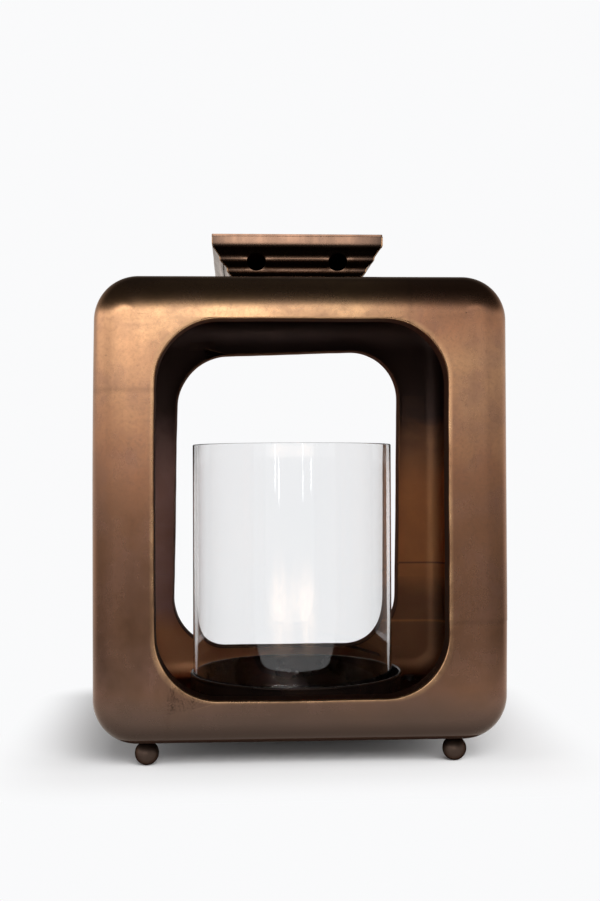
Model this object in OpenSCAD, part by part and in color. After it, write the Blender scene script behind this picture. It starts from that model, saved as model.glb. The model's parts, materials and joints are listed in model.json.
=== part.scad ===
// Hurricane candle lantern: a hollow box of soft-edged bronze sheet with a window in
// front and back, a vent cap, four ball feet, and a loose pan that carries a glass.
// Millimetres. +Z is up, the front window faces -Y, and the feet stand on Z = 0.

/* [Body] */
// Width of the body, left to right
body_w = 300; // [280:1:340]
// Depth of the body, front to back
body_d = 285; // [260:1:320]
// Height of the body, without feet and cap
body_h = 336; // [320:1:380]
// Thickness of the body's sheet
sheet_t = 1.2; // [1:0.1:1.6]
// Radius of the four corners, seen from the front
corner_r = 32; // [26:1:40]
// Radius of the soft edge round the front and the back
edge_r = 18; // [12:1:20]

/* [Windows] */
// Width of the uprights, left and right of the windows
upright_w = 45; // [42:0.5:50]
// Height of the bars, above and below the windows
bar_h = 32.5; // [31:0.5:40]
// Corner radius of the windows
window_r = 41; // [34:1:50]
// Bend radius of the sheet at the window's edge
bend_r = 3.5; // [2.5:0.5:4]
// Depth of the flange that is turned in round each window
flange_d = 20; // [12:1:24]

/* [Brazed seams] */
// From the top down to the seam in the left upright
left_seam = 83; // [76:1:110]
// From the right side to the seam in the top bar
top_seam = 72; // [66:1:84]
// From the bottom up to the seam in the right upright
right_seam = 86; // [76:1:110]
// From the left side to the seam in the bottom bar
bottom_seam = 54; // [50:1:84]
// Width of the strap that backs each seam
strap_w = 24; // [16:1:30]
// Thickness of the straps
strap_t = 1; // [0.6:0.1:1.6]

/* [Feet] */
// Diameter of the ball feet
foot_d = 17.5; // [15:0.5:22]
// Depth of the flat where a ball meets the body
foot_flat = 0.4; // [0.2:0.1:0.8]
// From the body's sides to the middle of a foot
foot_side = 38; // [38:0.5:46]
// From the body's front and back to the middle of a foot
foot_front = 25; // [25:0.5:40]
// Diameter of the screws that hold the feet
screw_d = 5; // [4:0.5:6]
// How far a screw reaches into its foot
screw_reach = 9; // [6:0.5:10]
// Diameter of the screw heads
screw_head_d = 9; // [8:0.5:11]
// Height of the screw heads
screw_head_h = 3; // [2:0.5:4]
// Diameter of the washers under the screw heads
washer_d = 12; // [11.5:0.5:13]
// Thickness of the washers
washer_t = 1; // [0.8:0.1:1.6]

/* [Vent cap] */
// Height of the cap above the body, without its top plate
cap_h = 36.3; // [32:0.1:50]
// Width of the cap's foot, left to right
cap_foot_w = 88; // [82:1:96]
// Depth of the cap's foot, front to back
cap_foot_d = 142; // [130:1:160]
// Outward slope of the two end walls, from upright
end_slope = 35; // [28:1:40]
// Outward slope of the front and back walls, from upright
face_slope = 30; // [25:1:36]
// Height of the lip above the sloped walls
lip_h = 9.6; // [6:0.1:12]
// Outward lean of the lip, over its height
lip_lean = 2; // [0:0.1:3]
// Thickness of the cap's sheet
cap_t = 1.2; // [1:0.1:1.6]
// Thickness of the top plate
plate_t = 1.5; // [1:0.1:2.5]
// Diameter of the vent holes in the front and back walls
vent_d = 14.4; // [8:0.1:15]
// Distance between the two vent holes of a wall
vent_pitch = 62; // [40:1:70]
// Height of the vent holes' middle above the body
vent_z = 18; // [14:0.5:19]
// Diameter of the flue through the body's top into the cap
flue_d = 50; // [30:1:60]
// Diameter of the rivets that hold the cap
rivet_d = 4; // [3:0.5:5]
// Diameter of the rivet heads
rivet_head_d = 8; // [7:0.5:9]
// From the edges of the cap's foot to the middle of a rivet
rivet_inset = 9; // [8:0.5:12]

/* [Candle pan] */
// Outer diameter of the pan
pan_d = 173.5; // [172:0.5:180]
// Height of the pan
pan_h = 29.5; // [20:0.5:32]
// Thickness of the pan's wall
pan_wall = 1.6; // [1.2:0.1:2]
// Thickness of the pan's floor
pan_floor = 1.6; // [1.2:0.1:3]
// Diameter of the raised seat for the candle
seat_d = 144; // [120:1:146]
// Height of the candle seat above the pan's floor
seat_h = 1.5; // [0.5:0.1:4]
// How far the pan stands to the right of the body's middle
pan_shift = 2; // [-6:0.5:6]

/* [Glass] */
// Outer diameter of the glass
glass_d = 163; // [158:0.5:165]
// Thickness of the glass
glass_t = 3; // [2:0.1:4]
// Height of the glass
glass_h = 213; // [160:1:230]
// Clearance between the glass and the left side of the pan
glass_clear = 0.7; // [0.5:0.1:1.4]

/* [Hidden] */
$fn = 96;
// Clearances
rest_gap = 0.3;                 // a loose piece above what it stands on
hole_gap = 0.1;                 // a screw or rivet in its hole, on the radius
strap_gap = 0.8;                // a strap from the bends at its two ends
// How far a block that is cut or joined reaches past the cut
lap = 1;
// A length that reaches past the whole lantern
far = 2 * (body_w + body_d + body_h);

// Levels
body_z = foot_d - foot_flat;
top_z = body_z + body_h;
mid_z = body_z + body_h / 2;
floor_z = body_z + sheet_t;
pan_z = floor_z + rest_gap;
glass_z = pan_z + pan_floor + rest_gap;
screw_z = floor_z + washer_t;

// Places
window_w = body_w - 2 * upright_w;
window_h = body_h - 2 * bar_h;
foot_x = body_w / 2 - foot_side;
foot_y = body_d / 2 - foot_front;
rivet_x = cap_foot_w / 2 - rivet_inset;
rivet_y = cap_foot_d / 2 - rivet_inset;
pan_in_r = pan_d / 2 - pan_wall;
glass_x = pan_shift - (pan_in_r - glass_d / 2 - glass_clear);

// Seam planes of the front, seen from the front
left_seam_z = top_z - left_seam;
top_seam_x = body_w / 2 - top_seam;
right_seam_z = body_z + right_seam;
bottom_seam_x = bottom_seam - body_w / 2;

// The cap's bends: half sizes at the top of the sloped walls
slope_h = cap_h - lip_h;
cap_x = cap_foot_w / 2 + slope_h * tan(end_slope);
cap_y = cap_foot_d / 2 + slope_h * tan(face_slope);

BRONZE = [0.55, 0.37, 0.25];
DARK_BRONZE = [0.30, 0.20, 0.15];
BLACK_BRONZE = [0.13, 0.10, 0.09];
STEEL = [0.62, 0.62, 0.64];
CLEAR = [0.85, 0.93, 0.95, 0.35];

// ---- Flat shapes -----------------------------------------------------------

// Rectangle with round corners, centred
module soft_rect(a, b, r) {
    square([a - 2 * r, b], center = true);
    square([a, b - 2 * r], center = true);
    for (x = [-1, 1], y = [-1, 1])
        translate([x * (a / 2 - r), y * (b / 2 - r)]) circle(r);
}

// Rectangle from 0 to a and from -d to 0, lapped past 0, its far corner rounded with radius e
module soft_corner(a, d, e) {
    translate([-lap, -d]) square([a + lap - e, d + lap]);
    translate([-lap, e - d]) square([a + lap, d + lap - e]);
    translate([a - e, e - d]) circle(e);
}

// Section of the sheet that turns in at a window: x outward, y into the depth. Its front
// end laps the flat sheet round the window.
module flange_section() {
    intersection() {
        square([bend_r, bend_r]);
        translate([bend_r, bend_r]) difference() {
            circle(bend_r);
            circle(bend_r - sheet_t);
        }
    }
    translate([0, bend_r]) square([sheet_t, flange_d - bend_r]);
    translate([bend_r, 0]) square([lap, sheet_t]);
}

// ---- Solid shapes ----------------------------------------------------------

// The upper right corner of the body's front half, with the bars that leave it, as a
// full block whose faces lie t inside the sheet's outer face. The origin is the middle.
module corner_block(t) {
    half_w = body_w / 2 - t;
    half_h = body_h / 2 - t;
    depth = body_d / 2 - t;
    r = corner_r - t;
    e = edge_r - t;
    translate([0, 0, r - half_h]) linear_extrude(2 * (half_h - r)) soft_corner(half_w, depth, e);
    translate([half_w - r, 0, 0]) rotate([0, -90, 0])
        linear_extrude(2 * (half_w - r)) soft_corner(half_h, depth, e);
    translate([half_w - r, 0, half_h - r]) rotate([-90, 0, 0]) rotate_extrude()
        intersection() {
            translate([0, -depth]) square([r, depth + lap]);
            soft_corner(r, depth, e);
        }
}

// Sweeps a section round a window that lies in the XZ plane
module round_window(w, h, r) {
    for (x = [0, 1], z = [0, 1]) mirror([x, 0, 0]) mirror([0, 0, z]) {
        translate([w / 2 - r, 0, r - h / 2]) rotate([-90, 0, 0])
            rotate_extrude(angle = 90) translate([r, 0]) children();
    }
    for (x = [0, 1]) mirror([x, 0, 0])
        translate([w / 2, 0, r - h / 2]) linear_extrude(h - 2 * r) children();
    for (z = [0, 1]) mirror([0, 0, z])
        translate([w / 2 - r, 0, h / 2]) rotate([0, -90, 0])
            linear_extrude(w - 2 * r) children();
}

// Round hole or shank along Z
module post(d, z0, z1) {
    translate([0, 0, z0]) cylinder(d = d, h = z1 - z0);
}

module at_feet() {
    for (x = [-1, 1], y = [-1, 1]) translate([x * foot_x, y * foot_y, 0]) children();
}

module at_rivets() {
    for (x = [-1, 1], y = [-1, 1]) translate([x * rivet_x, y * rivet_y, 0]) children();
}

// ---- Body ------------------------------------------------------------------

// One segment of the front's sheet: the corner on side x (-1 left, 1 right) and z (-1 bottom,
// 1 top) with its two bars, between x0 and x1, z0 and z1, in front of the middle
module front_segment(x, z, x0, x1, z0, z1) {
    color(BRONZE) intersection() {
        union() {
            difference() {
                translate([0, 0, mid_z]) to_corner(x, z) difference() {
                    corner_block(0);
                    corner_block(sheet_t);
                }
                translate([0, 0, mid_z]) rotate([90, 0, 0]) linear_extrude(far)
                    soft_rect(window_w + 2 * bend_r, window_h + 2 * bend_r, window_r + bend_r);
                if (z < 0) at_feet() post(screw_d + 2 * hole_gap, 0, mid_z);
                if (z > 0) at_rivets() post(rivet_d + 2 * hole_gap, mid_z, far);
                if (z > 0) post(flue_d, mid_z, far);
            }
            translate([0, -body_d / 2, mid_z]) round_window(window_w, window_h, window_r)
                flange_section();
        }
        translate([x0, -far, z0]) cube([x1 - x0, far, z1 - z0]);
    }
}

// Mirrors left to right where x is negative, and top to bottom where z is
module to_corner(x, z) {
    mirror([x < 0 ? 1 : 0, 0, 0]) mirror([0, 0, z < 0 ? 1 : 0]) children();
}

module top_segment() { front_segment(-1, 1, -far, top_seam_x, left_seam_z, far); }
module right_segment() { front_segment(1, 1, top_seam_x, far, right_seam_z, far); }
module bottom_segment() { front_segment(1, -1, bottom_seam_x, far, 0, right_seam_z); }
module left_segment() { front_segment(-1, -1, -far, bottom_seam_x, 0, left_seam_z); }

// The back half is the front half turned round
module turned() { rotate([0, 0, 180]) children(); }

// Strap on the inside of the front, with its lower left corner at x and z
module strap(x, z, w, h) {
    translate([x, -body_d / 2 + sheet_t, z]) cube([w, strap_t, h]);
}

module seam_straps() {
    upright = upright_w - edge_r - bend_r - 2 * strap_gap;
    bar = bar_h - edge_r - bend_r - 2 * strap_gap;
    out = edge_r + strap_gap;
    color(DARK_BRONZE) {
        strap(out - body_w / 2, left_seam_z - strap_w / 2, upright, strap_w);
        strap(body_w / 2 - out - upright, right_seam_z - strap_w / 2, upright, strap_w);
        strap(top_seam_x - strap_w / 2, top_z - out - bar, strap_w, bar);
        strap(bottom_seam_x - strap_w / 2, body_z + out, strap_w, bar);
    }
}

// ---- Vent cap --------------------------------------------------------------

// Upright section of the cap through its middle, inset by t across the sheet
module cap_section(foot, bend, slope, t) {
    side = t / cos(slope);
    lip = t * sqrt(pow(lip_h, 2) + pow(lip_lean, 2)) / lip_h;
    rise = (side - lip) / (tan(slope) - lip_lean / lip_h);
    x1 = bend - side + rise * tan(slope);
    polygon([[side - foot, 0], [foot - side, 0], [x1, slope_h + rise],
        [bend + lip_lean - lip, cap_h], [lip - bend - lip_lean, cap_h],
        [-x1, slope_h + rise]]);
}

// Everything inside the end walls, and inside the front and back walls
module inside_ends(t) {
    rotate([90, 0, 0]) translate([0, 0, -far / 2]) linear_extrude(far)
        cap_section(cap_foot_w / 2, cap_x, end_slope, t);
}

module inside_faces(t) {
    rotate([90, 0, 90]) translate([0, 0, -far / 2]) linear_extrude(far)
        cap_section(cap_foot_d / 2, cap_y, face_slope, t);
}

// The cap's level: its walls stand on the base plate
module on_body() { translate([0, 0, top_z]) children(); }

module cap_base_plate() {
    foot = [cap_foot_w / 2 - cap_t / cos(end_slope) - rest_gap,
        cap_foot_d / 2 - cap_t / cos(face_slope) - rest_gap];
    color(DARK_BRONZE) on_body() difference() {
        translate([-foot[0], -foot[1], 0]) cube([2 * foot[0], 2 * foot[1], cap_t]);
        post(flue_d, -lap, far);
        at_rivets() post(rivet_d + 2 * hole_gap, -lap, far);
    }
}

module cap_face_wall() {
    vent_y = cap_foot_d / 2 + vent_z * tan(face_slope);
    color(BRONZE) on_body() difference() {
        intersection() {
            inside_ends(cap_t);
            inside_faces(0);
            translate([-far / 2, -far, 0]) cube([far, far, far]);
        }
        inside_faces(cap_t);
        for (x = [-1, 1])
            translate([x * vent_pitch / 2, -vent_y, vent_z]) rotate([90 + face_slope, 0, 0])
                cylinder(d = vent_d, h = 6 * cap_t, center = true);
    }
}

module cap_end_wall() {
    color(BRONZE) on_body() difference() {
        intersection() {
            inside_ends(0);
            inside_faces(0);
            translate([-far, -far / 2, 0]) cube([far, far, far]);
        }
        inside_ends(cap_t);
    }
}

module cap_top_plate() {
    color(BRONZE) translate([0, 0, top_z + cap_h]) linear_extrude(plate_t)
        soft_rect(2 * (cap_x + lip_lean), 2 * (cap_y + lip_lean), plate_t);
}

// A low dome that stands on Z = 0
module rivet_head() {
    dome = rivet_head_d * 5 / 8;
    height = dome - sqrt(pow(dome, 2) - pow(rivet_head_d / 2, 2));
    intersection() {
        translate([0, 0, height - dome]) sphere(dome);
        cylinder(d = rivet_head_d, h = height);
    }
}

module cap_rivets() {
    color(DARK_BRONZE) at_rivets() {
        post(rivet_d, top_z - sheet_t, top_z + cap_t);
        translate([0, 0, top_z + cap_t]) rivet_head();
        translate([0, 0, top_z - sheet_t]) mirror([0, 0, 1]) rivet_head();
    }
}

// ---- Feet ------------------------------------------------------------------

// Ball with a flat on top and a blind hole for its screw; x and y are its side signs
module foot(x, y) {
    color(DARK_BRONZE) translate([x * foot_x, y * foot_y, 0]) difference() {
        translate([0, 0, foot_d / 2]) sphere(d = foot_d);
        post(2 * foot_d, body_z, 2 * foot_d);
        post(screw_d + 2 * hole_gap, body_z - screw_reach - hole_gap, foot_d);
    }
}

module foot_screws() {
    slot_w = screw_d / 4;
    color(STEEL) at_feet() difference() {
        union() {
            post(screw_d, body_z - screw_reach, screw_z);
            post(screw_head_d, screw_z, screw_z + screw_head_h);
        }
        translate([-screw_head_d, -slot_w / 2, screw_z + screw_head_h / 2])
            cube([2 * screw_head_d, slot_w, screw_head_h]);
    }
}

module foot_washers() {
    color(STEEL) at_feet() difference() {
        post(washer_d, floor_z, screw_z);
        post(screw_d + 2 * hole_gap, 0, far);
    }
}

// ---- Candle pan and glass --------------------------------------------------

module candle_pan() {
    out_r = pan_d / 2;
    color(BLACK_BRONZE) translate([pan_shift, 0, pan_z]) rotate_extrude() {
        square([out_r, pan_floor]);
        square([seat_d / 2, pan_floor + seat_h]);
        translate([pan_in_r, 0]) square([pan_wall, pan_h - pan_wall / 2]);
        translate([pan_in_r + pan_wall / 2, pan_h - pan_wall / 2]) circle(d = pan_wall);
    }
}

module hurricane_glass() {
    in_r = glass_d / 2 - glass_t;
    color(CLEAR) translate([glass_x, 0, glass_z]) rotate_extrude() {
        translate([in_r, glass_t / 2]) square([glass_t, glass_h - glass_t]);
        for (z = [glass_t / 2, glass_h - glass_t / 2])
            translate([in_r + glass_t / 2, z]) circle(d = glass_t);
    }
}

// ---- Nodes -----------------------------------------------------------------

top_segment();  // front_top_segment
right_segment();  // front_right_segment
bottom_segment();  // front_bottom_segment
left_segment();  // front_left_segment
turned() top_segment();  // rear_top_segment
turned() right_segment();  // rear_right_segment
turned() bottom_segment();  // rear_bottom_segment
turned() left_segment();  // rear_left_segment
seam_straps();  // front_seam_straps
turned() seam_straps();  // rear_seam_straps
cap_base_plate();
cap_face_wall();  // cap_front_wall
turned() cap_face_wall();  // cap_rear_wall
cap_end_wall();  // cap_left_wall
turned() cap_end_wall();  // cap_right_wall
cap_top_plate();
cap_rivets();
foot(-1, -1);  // foot_front_left
foot(1, -1);  // foot_front_right
foot(-1, 1);  // foot_rear_left
foot(1, 1);  // foot_rear_right
foot_screws();
foot_washers();
candle_pan();
hurricane_glass();
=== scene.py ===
# The look of the hurricane candle lantern: hand-formed bronze sheet, glass and light,
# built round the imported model. Metres, +Z up, the front window faces -Y.
import json
import math

import bmesh
import bpy
import numpy as np
from mathutils import Matrix, Vector, noise


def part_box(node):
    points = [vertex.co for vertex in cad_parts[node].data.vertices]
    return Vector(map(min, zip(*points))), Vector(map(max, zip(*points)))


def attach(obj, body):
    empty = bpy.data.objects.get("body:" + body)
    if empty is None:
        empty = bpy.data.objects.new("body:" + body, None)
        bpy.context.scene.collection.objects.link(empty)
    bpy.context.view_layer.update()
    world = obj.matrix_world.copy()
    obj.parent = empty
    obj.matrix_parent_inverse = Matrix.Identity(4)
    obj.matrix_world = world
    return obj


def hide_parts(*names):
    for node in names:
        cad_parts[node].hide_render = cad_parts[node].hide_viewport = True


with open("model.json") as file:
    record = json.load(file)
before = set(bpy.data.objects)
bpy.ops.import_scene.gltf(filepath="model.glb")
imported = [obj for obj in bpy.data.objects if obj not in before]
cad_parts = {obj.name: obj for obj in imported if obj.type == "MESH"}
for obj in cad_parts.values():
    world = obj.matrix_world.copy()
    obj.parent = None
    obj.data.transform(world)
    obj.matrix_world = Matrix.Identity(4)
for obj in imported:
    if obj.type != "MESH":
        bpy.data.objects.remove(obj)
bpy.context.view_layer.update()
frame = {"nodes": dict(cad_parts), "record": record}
MM = 0.001

# ---- Sizes ----
# The solids give the overall sizes; what they only show as a bend or an edge is repeated here.
LOWS, HIGHS = zip(*(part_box(f"{side}_{part}_segment") for side in ("front", "rear")
                    for part in ("top", "right", "bottom", "left")))
BODY_LO, BODY_HI = Vector(map(min, *LOWS)), Vector(map(max, *HIGHS))
HALF_W = BODY_HI.x
HALF_D = BODY_HI.y
HALF_H = (BODY_HI.z - BODY_LO.z) / 2
MID_Z = (BODY_HI.z + BODY_LO.z) / 2
SHEET = 1.2 * MM
CORNER_R = 32 * MM
EDGE_R = 18 * MM
UPRIGHT = 45 * MM
BAR = 32.5 * MM
WINDOW_R = 46 * MM  # a little softer than in the solids
BEND_R = 1.1 * MM  # tighter than in the solids, as the burr on the real edge is
FLANGE = 20 * MM
REAR_SEAM_DROP = 11 * MM  # the rear's upper seam lies this much lower than the front's
# Seam planes of the front, from the middle of the body
LEFT_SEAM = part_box("front_left_segment")[1].z - MID_Z
TOP_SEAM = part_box("front_top_segment")[1].x
RIGHT_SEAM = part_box("front_right_segment")[0].z - MID_Z
BOTTOM_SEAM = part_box("front_left_segment")[1].x

# ---- Camera ----
FOCAL_PX = 1229.0  # of a picture whose long side is 901 pixels
LONG_SIDE_PX = 901
CAMERA_AT = Vector((-0.0474, -1.0140, 0.2137))
CAMERA_YAW = math.radians(3.01)  # to the right
CAMERA_PITCH = math.radians(0.84)  # up
CAMERA_ROLL = math.radians(-0.24)


def new_object(name, data):
    obj = bpy.data.objects.new(name, data)
    bpy.context.scene.collection.objects.link(obj)
    return obj


def make_camera():
    data = bpy.data.cameras.new("view_camera")
    data.sensor_width = 36
    data.lens = FOCAL_PX / LONG_SIDE_PX * data.sensor_width
    data.clip_start, data.clip_end = 0.01, 100
    cam = new_object("view_camera", data)
    turn = Matrix.Rotation(-CAMERA_YAW, 4, "Z") @ Matrix.Rotation(math.pi / 2 + CAMERA_PITCH, 4, "X")
    cam.matrix_world = Matrix.Translation(CAMERA_AT) @ turn @ Matrix.Rotation(CAMERA_ROLL, 4, "Z")
    bpy.context.scene.camera = cam


# ---- Mesh helpers ----

def new_mesh(name, verts, faces, material):
    mesh = bpy.data.meshes.new(name)
    mesh.from_pydata(verts, [], faces)
    mesh.materials.append(material)
    return new_object(name, mesh)


def new_piece(name, verts, faces, body, material, replaces=()):
    """A smooth piece of the visual that rides on a body and may stand in for solids."""
    obj = new_mesh(name, verts, faces, material)
    obj.data.validate()
    obj.data.polygons.foreach_set("use_smooth", [True] * len(obj.data.polygons))
    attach(obj, body)
    if replaces:
        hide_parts(*replaces)
    return obj


def point_values(obj, name, values):
    """Gives the mesh a value at each point, which the materials read by its name."""
    layer = obj.data.attributes.new(name, "FLOAT", "POINT")
    layer.data.foreach_set("value", values)


def bevel(obj, width, angle=35):
    """Softens the edges whose faces meet at more than the angle, in degrees."""
    mod = obj.modifiers.new("edges", "BEVEL")
    mod.width = width
    mod.segments = 2
    mod.limit_method = "ANGLE"
    mod.angle_limit = math.radians(angle)
    mod.harden_normals = True


def shell_faces(rows, cols):
    """Faces of a closed sheet made of an outer grid and an inner grid of rows x cols points."""
    n = rows * cols

    def at(side, r, c):
        return side * n + r * cols + c

    faces = []
    for r in range(rows - 1):
        for c in range(cols - 1):
            faces.append((at(0, r, c), at(0, r, c + 1), at(0, r + 1, c + 1), at(0, r + 1, c)))
            faces.append((at(1, r, c), at(1, r + 1, c), at(1, r + 1, c + 1), at(1, r, c + 1)))
    for c in range(cols - 1):
        faces.append((at(0, 0, c), at(1, 0, c), at(1, 0, c + 1), at(0, 0, c + 1)))
        e = rows - 1
        faces.append((at(0, e, c), at(0, e, c + 1), at(1, e, c + 1), at(1, e, c)))
    for r in range(rows - 1):
        faces.append((at(0, r, 0), at(0, r + 1, 0), at(1, r + 1, 0), at(1, r, 0)))
        e = cols - 1
        faces.append((at(0, r, e), at(1, r, e), at(1, r + 1, e), at(0, r + 1, e)))
    return faces


ROUND_STEPS = 256


def revolve(profile, centre):
    """Solid of revolution about Z; the profile is a closed loop of (radius, z) points."""
    count = len(profile)
    verts = []
    for step in range(ROUND_STEPS):
        a = 2 * math.pi * step / ROUND_STEPS
        for r, z in profile:
            verts.append((centre.x + r * math.cos(a), centre.y + r * math.sin(a), centre.z + z))
    faces = []
    for here in range(0, len(verts), count):
        there = (here + count) % len(verts)
        for i in range(count):
            j = (i + 1) % count
            faces.append((here + i, there + i, there + j, here + j))
    return verts, faces


def arc(cx, cy, r, a0, a1, steps):
    """Points of an arc from a0 to a1 degrees."""
    turns = np.radians(np.linspace(a0, a1, steps))
    return [(cx + r * math.cos(a), cy + r * math.sin(a)) for a in turns]


# ---- The body's sheet ----
ARC_STEPS, BAR_STEPS = 14, 60  # points along half a corner and from a corner to a seam
FAR_STEPS = 44  # along the next corner, before the seam cuts it
FLANGE_ROWS, BEND_ROWS, FACE_ROWS, FILLET_ROWS, SIDE_ROWS = 8, 7, 10, 15, 34
BODY_BEVEL = 0.15 * MM


def half_contour(half_a, half_b, r, stop):
    """From the middle of the corner at (half_a, half_b) along the side of height half_b towards
    smaller a, to where a is stop: first the corner's arc, then the bar, as (a, b) points."""
    ca, cb = half_a - r, half_b - r
    first = arc(ca, cb, r, 45, 90, ARC_STEPS)
    pts = np.array([(ca, half_b), (-ca, half_b)] + arc(-ca, cb, r, 92, 178, FAR_STEPS))
    keep = int(np.argmax(pts[:, 0] < stop))
    p, q = pts[keep - 1], pts[keep]
    end = p + (q - p) * (p[0] - stop) / (p[0] - q[0])
    pts = np.vstack([pts[:keep], end])
    length = np.concatenate([[0], np.cumsum(np.hypot(*np.diff(pts, axis=0).T))])
    at = np.linspace(0, length[-1], BAR_STEPS)
    bar = np.stack([np.interp(at, length, pts[:, 0]), np.interp(at, length, pts[:, 1])], -1)
    return np.vstack([first, bar[1:]])


def contour(half_a, half_b, r, stop_a, stop_b):
    """A contour round one corner: from the seam on the upright up to the seam on the bar."""
    along = half_contour(half_a, half_b, r, stop_a)
    down = half_contour(half_b, half_a, r, stop_b)[:, ::-1]
    return np.vstack([down[::-1], along[1:]])


def section_rows(t):
    """Sizes of the contours of the skin that lies t inside the sheet's outer skin, as (half
    width, half height, corner radius, depth): first the window's, from the end of the flange to
    the face, then the outline's, from the face to the middle of the body."""
    win_a, win_b = HALF_W - UPRIGHT, HALF_H - BAR
    flange = [(t, d) for d in np.linspace(FLANGE, BEND_R, FLANGE_ROWS)[:-1]]
    bend = arc(BEND_R, BEND_R, t - BEND_R, 0, 90, BEND_ROWS)
    window = [(win_a + grow, win_b + grow, WINDOW_R + grow, d) for grow, d in flange + bend]
    fillet = arc(EDGE_R, EDGE_R, t - EDGE_R, 0, 90, FILLET_ROWS)
    side = [(d, t) for d in np.linspace(EDGE_R, HALF_D, SIDE_ROWS)[1:]]
    outline = [(HALF_W - back, HALF_H - back, CORNER_R - back, d) for d, back in fillet + side]
    return window, outline


def sheet_grid(t, stop_a, stop_b):
    """Grid of (a, b, depth) of a skin of the sheet round one corner, a to the right and b up."""
    def line(half_a, half_b, r, depth):
        points = contour(half_a, half_b, r, stop_a, stop_b)
        return np.column_stack([points, np.full(len(points), depth)])

    window, outline = ([line(*row) for row in rows] for rows in section_rows(t))
    inner, outer = window[-1], outline[0]
    face = [inner + (outer - inner) * k / (FACE_ROWS + 1) for k in range(1, FACE_ROWS + 1)]
    return np.array(window + face + outline)


def uneven(p, scale, seed):
    """Smooth noise in -1 to 1 at a point in metres; scale is in cycles per metre."""
    return noise.noise(Vector((p[0] * scale + seed, p[1] * scale - seed, p[2] * scale + 2 * seed)))


# How far the sheet departs from its true shape, as a hand-made one does. A noise is given by
# its scale in cycles per metre and its seed.
FACE_SAG = 0.5 * MM  # hollows in the faces, only ever inward
SAG_BROAD, SAG_FINE = (11, 1.3), (38, 5.9)
FINE_SHARE = 0.25
SAG_MARGIN = 8 * MM  # the narrow sides' hollows die away this far in from the outline
SIDE_SAG = 0.3  # share of the hollows that the left and right side take
SIDE_FROM = 0.3  # share of the edge's rounding where these start
EDGE_WAVE = 0.5 * MM  # waves in the windows' edges
EDGE_CHATTER = 0.14 * MM  # small hammer marks in them
WAVES, WAVES_AT = (17, 3.1), 0.2
CHATTER, CHATTER_AT = (85, 7.7), 0.4
WAVE_FADE = 9 * MM  # how soon both die away from the edge
NEAR_WINDOW = 60 * MM  # beyond this they are gone
FACE_DEPTH = FLANGE + 2 * MM  # how deep in the window's edge is moved
TOP_ROLL = 26.5 * MM  # the faces start to roll over this far below their top edge,
TOP_ROLL_SIDE = 3 * MM  # and lower by up to this away from TOP_ROLL_MIDDLE along x,
TOP_ROLL_MIDDLE = 0.01
TOP_ROLL_REACH = 0.9  # in full this share of half the width away
TOP_LEAN = 1.9 * MM  # how far the left side leans in at its top
REAR_INSET = 1.8 * MM  # the rear window is narrower by this on each side,
REAR_INSET_AT = 60 * MM  # in full from this far to the side
RACK_SIDE = 0.017  # lean of the rear window's sides, and rise of its top
RACK_TOP = 0.03
RACK_FADE = 16 * MM  # how soon these die away from the edge
KINK_STEP = 0.15 * MM  # the lower segments stand this far inside the upper ones at a seam,
KINK_LEAN = 0.01  # lean in by this much more for their length below it,
KINK_MOST = 1.3 * MM  # never by more than this,
KINK_ZONE = 40 * MM  # and only this far in from the sides
# Half lengths of the straight parts of the windows' edges
FLAT_A = HALF_W - UPRIGHT - WINDOW_R
FLAT_B = HALF_H - BAR - WINDOW_R


def window_reach(a, b):
    """Distance of a face point outside the window's contour."""
    da, db = abs(a) - FLAT_A, abs(b) - FLAT_B
    if da > 0 and db > 0:
        return math.hypot(da, db) - WINDOW_R
    return max(da, db) - WINDOW_R


def edge_wave(x, y, z):
    """How the window's edge beside a point moves out or in."""
    away = Vector((max(0.0, abs(x) - FLAT_A) * math.copysign(1, x), 0,
                   max(0.0, abs(z) - FLAT_B) * math.copysign(1, z)))
    away.normalize()
    wave = EDGE_WAVE * uneven((x, math.copysign(WAVES_AT, y), z), *WAVES)
    wave += EDGE_CHATTER * uneven((x, math.copysign(CHATTER_AT, y), z), *CHATTER)
    return away * wave


def roll_down(x, z):
    """How a face point moves in from the outline, so that the top's fillet is taller than it is
    deep; round the corners this fades out towards the sides."""
    dx = max(0.0, abs(x) - HALF_W + CORNER_R)
    dz = z - HALF_H + CORNER_R
    out = math.hypot(dx, dz)
    if dz <= 0 or out >= CORNER_R:
        return Vector((0, 0, 0))
    down = CORNER_R - out
    side = min(1.0, abs(x - TOP_ROLL_MIDDLE) / (TOP_ROLL_REACH * HALF_W))
    roll = TOP_ROLL + TOP_ROLL_SIDE * side ** 2
    if down < EDGE_R:
        moved = down * roll / EDGE_R
    else:
        moved = roll + (down - EDGE_R) * (CORNER_R - roll) / (CORNER_R - EDGE_R)
    step = (moved - down) * (dz / out) ** 3
    return Vector((math.copysign(dx, x) / out, 0, dz / out)) * step


def sag(x, y, z):
    """How far a point of the broad faces and the narrow sides sinks, with the top's roll."""
    move = Vector((0, 0, 0))
    depth = HALF_D - abs(y)
    broad = 0.5 + 0.5 * uneven((x, y, z), *SAG_BROAD)
    fine = 0.5 + 0.5 * uneven((x, y, z), *SAG_FINE)
    sink = FACE_SAG * ((1 - FINE_SHARE) * broad + FINE_SHARE * fine)
    if depth < EDGE_R:
        move.y = math.copysign(sink * (1 - depth / EDGE_R), y)
        move += roll_down(x, z) * (1 - (depth / EDGE_R) ** 2)
    if depth >= EDGE_R * SIDE_FROM:
        k = min(1.0, (depth - SIDE_FROM * EDGE_R) / EDGE_R)
        to_side = min(1.0, max(0.0, (HALF_W - abs(x)) / SAG_MARGIN))
        to_end = min(1.0, max(0.0, (HALF_H - abs(z)) / SAG_MARGIN))
        move.x += math.copysign(SIDE_SAG * sink * k * (1 - to_side), x)
        move.z += math.copysign(sink * k * (1 - to_end), z)
    return move


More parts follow.
